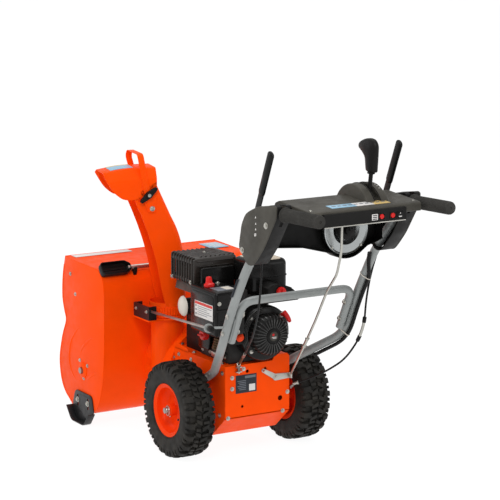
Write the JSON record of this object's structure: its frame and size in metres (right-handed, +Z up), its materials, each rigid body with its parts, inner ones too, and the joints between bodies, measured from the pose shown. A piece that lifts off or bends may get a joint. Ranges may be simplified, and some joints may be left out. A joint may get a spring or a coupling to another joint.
{
  "type": "two stage snowblower",
  "caption": "Wheel driven two stage snowblower: auger housing, impeller drum, turning discharge chute with tilting deflector, engine and handles with clutch levers and speed lever.",
  "frame": {"origin": "on the ground, at the bottom centre of the bounding box of the whole machine at rest", "axes": "+Z up, -Y forwards to the auger, +Y back to the operator's grips, +X to the operator's left"},
  "size_m": [0.691, 1.6329, 1.147],
  "materials": {
    "orange_paint": "smooth powder coat",
    "chute_orange": "smooth powder coat",
    "rim_paint": "smooth powder coat",
    "black_paint": "satin paint",
    "black_metal": "satin paint",
    "zinc_steel": "zinc plated",
    "shaft_steel": "turned steel",
    "muffler_steel": "heat darkened",
    "gearbox_iron": "painted casting",
    "engine_alloy": "die cast",
    "handle_grey": "grey powder coat",
    "lever_black": "satin paint",
    "black_plastic": "fine grain",
    "grey_plastic": "fine grain",
    "lamp_reflector": "metallised",
    "beige_plastic": "smooth",
    "red_plastic": "glossy",
    "grip_rubber": "ribbed",
    "cable_jacket": "smooth",
    "tyre_rubber": "snow tread"
  },
  "bodies": {
    "machine": {"auger_housing": "orange_paint", "impeller_housing": "orange_paint", "scraper_bar": "zinc_steel", "skid_shoe_left": "black_metal", "skid_shoe_right": "black_metal", "auger_gearbox": "gearbox_iron", "chute_drive_bracket": "black_metal", "frame_case": "orange_paint", "rear_panel": "orange_paint", "bottom_cover": "orange_paint", "belt_cover": "black_plastic", "engine_block": "engine_alloy", "cylinder_shroud": "black_plastic", "muffler": "muffler_steel", "muffler_guard": "black_metal", "blower_housing": "black_plastic", "recoil_cover": "black_plastic", "fuel_tank": "black_plastic", "carburettor_cover": "black_plastic", "upright_left": "handle_grey", "upright_right": "handle_grey", "crossbar": "handle_grey", "side_cover_left": "grey_plastic", "side_cover_right": "grey_plastic", "grip_left": "grip_rubber", "grip_right": "grip_rubber", "console_cover": "grey_plastic", "console_fascia": "black_plastic", "cowl": "black_plastic", "headlight": "lamp_reflector", "drive_cable": "cable_jacket", "auger_cable": "cable_jacket"},
    "wheels": {"wheel_axle": "shaft_steel", "rim_left": "rim_paint", "rim_right": "rim_paint", "tyre_left": "tyre_rubber", "tyre_right": "tyre_rubber"},
    "auger": {"auger_left": "black_paint", "auger_right": "black_paint", "auger_axle": "shaft_steel"},
    "fan": {"impeller": "black_paint", "impeller_shaft": "shaft_steel"},
    "crankshaft": {"crankshaft": "shaft_steel"},
    "chute": {"chute": "chute_orange"},
    "deflector": {"deflector": "chute_orange"},
    "wing_knob": {"wing_knob": "black_plastic"},
    "chute_crank": {"chute_crank": "zinc_steel"},
    "clutch_lever_left": {"clutch_lever_left": "lever_black"},
    "clutch_lever_right": {"clutch_lever_right": "lever_black"},
    "speed_lever": {"speed_lever": "black_plastic"},
    "shift_rod": {"shift_rod": "zinc_steel"},
    "shift_arm": {"shift_arm": "zinc_steel"},
    "fuel_cap": {"fuel_cap": "beige_plastic"},
    "oil_cap": {"oil_cap": "red_plastic"},
    "choke_knob": {"choke_knob": "red_plastic"},
    "recoil_handle": {"recoil_handle": "red_plastic"},
    "button_left": {"button_left": "red_plastic"},
    "button_right": {"button_right": "red_plastic"},
    "rocker_switch": {"rocker_switch": "black_plastic"},
    "cleanout_tool": {"cleanout_tool": "black_plastic"}
  },
  "joints": [
    {"name": "wheel_spin", "type": "hinge", "parent": "machine", "child": "wheels", "pos_m": [-0.005, -0.0764, 0.165], "axis": [1, 0, 0], "continuous": true},
    {"name": "auger_spin", "type": "hinge", "parent": "machine", "child": "auger", "pos_m": [-0.005, -0.6304, 0.191], "axis": [1, 0, 0], "continuous": true},
    {"name": "impeller_spin", "type": "hinge", "parent": "machine", "child": "fan", "pos_m": [-0.005, -0.3739, 0.228], "axis": [0, 1, 0], "continuous": true},
    {"name": "crankshaft_spin", "type": "hinge", "parent": "machine", "child": "crankshaft", "pos_m": [-0.02, -0.0764, 0.43], "axis": [0, 1, 0], "continuous": true},
    {"name": "chute_turn", "type": "hinge", "parent": "machine", "child": "chute", "pos_m": [0.0986, -0.3814, 0.44], "axis": [0, 0, 1], "range_deg": [-175, 20]},
    {"name": "chute_crank_turn", "type": "hinge", "parent": "machine", "child": "chute_crank", "pos_m": [0.1795, -0.3814, 0.4425], "axis": [0.1788, 0.9771, 0.1154], "range_deg": [-2100, 240]},
    {"name": "deflector_tilt", "type": "hinge", "parent": "chute", "child": "deflector", "pos_m": [0.16681, -0.39715, 0.811], "axis": [0.225, 0.9744, 0], "range_deg": [0, 40]},
    {"name": "wing_knob_turn", "type": "hinge", "parent": "deflector", "child": "wing_knob", "pos_m": [0.19799, -0.3243, 0.86], "axis": [0.225, 0.9744, 0], "range_deg": [-180, 180]},
    {"name": "auger_lever_squeeze", "type": "hinge", "parent": "machine", "child": "clutch_lever_right", "pos_m": [-0.245, 0.4476, 0.912], "axis": [1, 0, 0], "range_deg": [-42, 0], "stiffness_Nm_per_rad": 3, "springref_deg": 6.88},
    {"name": "drive_lever_squeeze", "type": "hinge", "parent": "machine", "child": "clutch_lever_left", "pos_m": [0.235, 0.4476, 0.912], "axis": [1, 0, 0], "range_deg": [-42, 0], "stiffness_Nm_per_rad": 3, "springref_deg": 6.88},
    {"name": "shift_rod_slide", "type": "slide", "parent": "machine", "child": "shift_rod", "axis": [0, 0, 1], "range_m": [-0.018, 0.018]},
    {"name": "speed_lever_tilt", "type": "hinge", "parent": "machine", "child": "speed_lever", "pos_m": [-0.08, 0.5956, 0.885], "axis": [1, 0, 0], "range_deg": [-18.5, 18.5]},
    {"name": "shift_arm_turn", "type": "hinge", "parent": "machine", "child": "shift_arm", "pos_m": [-0.076, 0.0623, 0.266], "axis": [0, 1, 0], "range_deg": [-18.5, 18.5]},
    {"name": "fuel_cap_turn", "type": "hinge", "parent": "machine", "child": "fuel_cap", "pos_m": [-0.05, -0.0064, 0.68], "axis": [0, 0, 1], "range_deg": [0, 90]},
    {"name": "oil_cap_turn", "type": "hinge", "parent": "machine", "child": "oil_cap", "pos_m": [0.142, -0.0464, 0.418], "axis": [1, 0, 0], "range_deg": [0, 360]},
    {"name": "choke_turn", "type": "hinge", "parent": "machine", "child": "choke_knob", "pos_m": [-0.065, 0.1136, 0.572], "axis": [0, 1, 0], "range_deg": [0, 75]},
    {"name": "recoil_pull", "type": "slide", "parent": "machine", "child": "recoil_handle", "axis": [-0.2493, 0.9273, 0.2792], "range_m": [0, 0.4], "stiffness_N_per_m": 25, "springref_m": -0.1},
    {"name": "engine_switch_press", "type": "slide", "parent": "machine", "child": "button_left", "axis": [0, -1, 0], "range_m": [0, 0.0025], "stiffness_N_per_m": 400, "springref_m": -0.0005},
    {"name": "heater_switch_press", "type": "slide", "parent": "machine", "child": "button_right", "axis": [0, -1, 0], "range_m": [0, 0.0025], "stiffness_N_per_m": 400, "springref_m": -0.0005},
    {"name": "lamp_switch_rock", "type": "hinge", "parent": "machine", "child": "rocker_switch", "pos_m": [-0.12, 0.7166, 0.9225], "axis": [1, 0, 0], "range_deg": [-8, 8]},
    {"name": "cleanout_tool_lift", "type": "slide", "parent": "machine", "child": "cleanout_tool", "axis": [0, 0, 1], "range_m": [0, 0.04]}
  ],
  "couplings": [
    {"joint": "impeller_spin", "follows": "auger_spin", "ratio": 10},
    {"joint": "chute_crank_turn", "follows": "chute_turn", "ratio": 12},
    {"joint": "speed_lever_tilt", "follows": "shift_rod_slide", "rad_per_m": -17.241},
    {"joint": "shift_arm_turn", "follows": "shift_rod_slide", "rad_per_m": 17.241}
  ]
}
